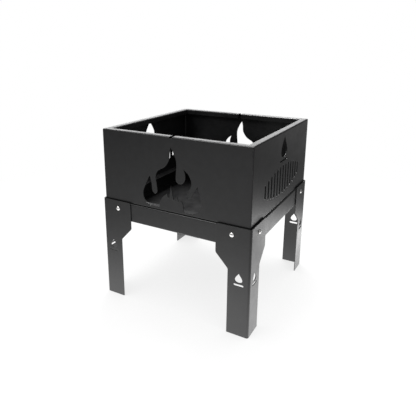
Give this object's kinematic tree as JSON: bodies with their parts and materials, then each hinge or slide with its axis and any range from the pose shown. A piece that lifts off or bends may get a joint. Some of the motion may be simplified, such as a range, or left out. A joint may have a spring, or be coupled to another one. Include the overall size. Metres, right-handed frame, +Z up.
{
  "type": "fire pit",
  "caption": "Square folded-steel fire pit: a fire box with flame cut-outs stands on an ash tray with bolted angle legs.",
  "frame": {"origin": "on the ground, under the middle of the fire pit", "axes": "+Z up, -Y towards the front wall with the large flame cut-out, +X towards the right wall"},
  "size_m": [0.411, 0.411, 0.443],
  "materials": {
    "black_powder_coat": "satin black powder coat on 2 mm sheet steel",
    "bolt_steel": "bright stainless steel round heads",
    "nut_zinc": "zinc plated"
  },
  "bodies": {
    "stand": {"ash_tray": "black_powder_coat", "leg_front_left": "black_powder_coat", "leg_front_right": "black_powder_coat", "leg_back_right": "black_powder_coat", "leg_back_left": "black_powder_coat", "bolt_front_1": "bolt_steel", "bolt_front_2": "bolt_steel", "bolt_right_1": "bolt_steel", "bolt_right_2": "bolt_steel", "bolt_back_1": "bolt_steel", "bolt_back_2": "bolt_steel", "bolt_left_1": "bolt_steel", "bolt_left_2": "bolt_steel", "nut_front_1": "nut_zinc", "nut_front_2": "nut_zinc", "nut_right_1": "nut_zinc", "nut_right_2": "nut_zinc", "nut_back_1": "nut_zinc", "nut_back_2": "nut_zinc", "nut_left_1": "nut_zinc", "nut_left_2": "nut_zinc"},
    "fire_box": {"front_wall": "black_powder_coat", "right_wall": "black_powder_coat", "back_wall": "black_powder_coat", "left_wall": "black_powder_coat"}
  },
  "joints": [
    {"name": "fire_box_lift", "type": "slide", "parent": "stand", "child": "fire_box", "axis": [0, 0, 1], "range_m": [0, 0.25]}
  ]
}
